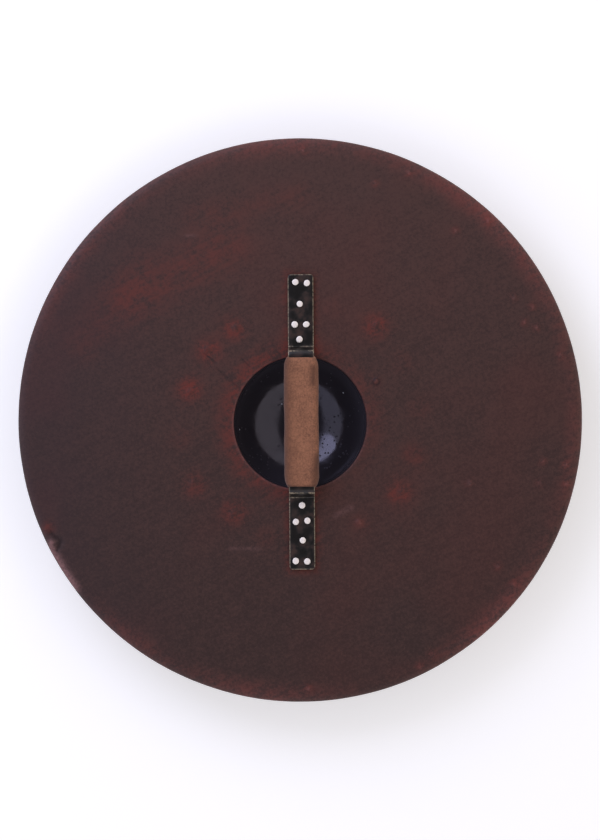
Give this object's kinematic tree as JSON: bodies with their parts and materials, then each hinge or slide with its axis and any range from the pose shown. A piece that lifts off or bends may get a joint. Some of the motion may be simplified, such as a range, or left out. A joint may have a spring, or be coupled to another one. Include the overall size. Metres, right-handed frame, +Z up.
{
  "type": "buckler shield",
  "caption": "Round hide-covered buckler lying face down on its domed boss, with a riveted steel strap handle and leather-wrapped grip across the hand opening.",
  "frame": {"origin": "on the floor below the middle of the disc, at the level of the flat on the boss", "axes": "+Z up through the disc, from the boss towards the grip side; +Y along the grip"},
  "size_m": [0.56, 0.56, 0.0767],
  "materials": {
    "hide": "dark oxblood hide, waxed, rubbed red on raised places",
    "boss_enamel": "gloss black enamel on dished steel",
    "strap_paint": "satin black paint on flat bar, worn bright at the edges",
    "rivet_metal": "bright hammered aluminium",
    "grip_leather": "brown leather, rough side out",
    "nail_paint": "black painted iron"
  },
  "bodies": {
    "root": {"shield_disc": "hide", "boss": "boss_enamel", "handle_strap": "strap_paint", "grip_wrap": "grip_leather", "strap_rivet_top_1": "rivet_metal", "strap_rivet_top_2": "rivet_metal", "strap_rivet_top_3": "rivet_metal", "strap_rivet_top_4": "rivet_metal", "strap_rivet_top_5": "rivet_metal", "strap_rivet_top_6": "rivet_metal", "strap_rivet_bottom_1": "rivet_metal", "strap_rivet_bottom_2": "rivet_metal", "strap_rivet_bottom_3": "rivet_metal", "strap_rivet_bottom_4": "rivet_metal", "strap_rivet_bottom_5": "rivet_metal", "strap_rivet_bottom_6": "rivet_metal", "boss_nail_01": "nail_paint", "boss_nail_02": "nail_paint", "boss_nail_03": "nail_paint", "boss_nail_04": "nail_paint", "boss_nail_05": "nail_paint", "boss_nail_06": "nail_paint", "boss_nail_07": "nail_paint", "boss_nail_08": "nail_paint", "boss_nail_09": "nail_paint", "boss_nail_10": "nail_paint", "boss_nail_11": "nail_paint", "boss_nail_12": "nail_paint", "boss_nail_13": "nail_paint", "boss_nail_14": "nail_paint", "boss_nail_15": "nail_paint", "boss_nail_16": "nail_paint"}
  },
  "joints": []
}
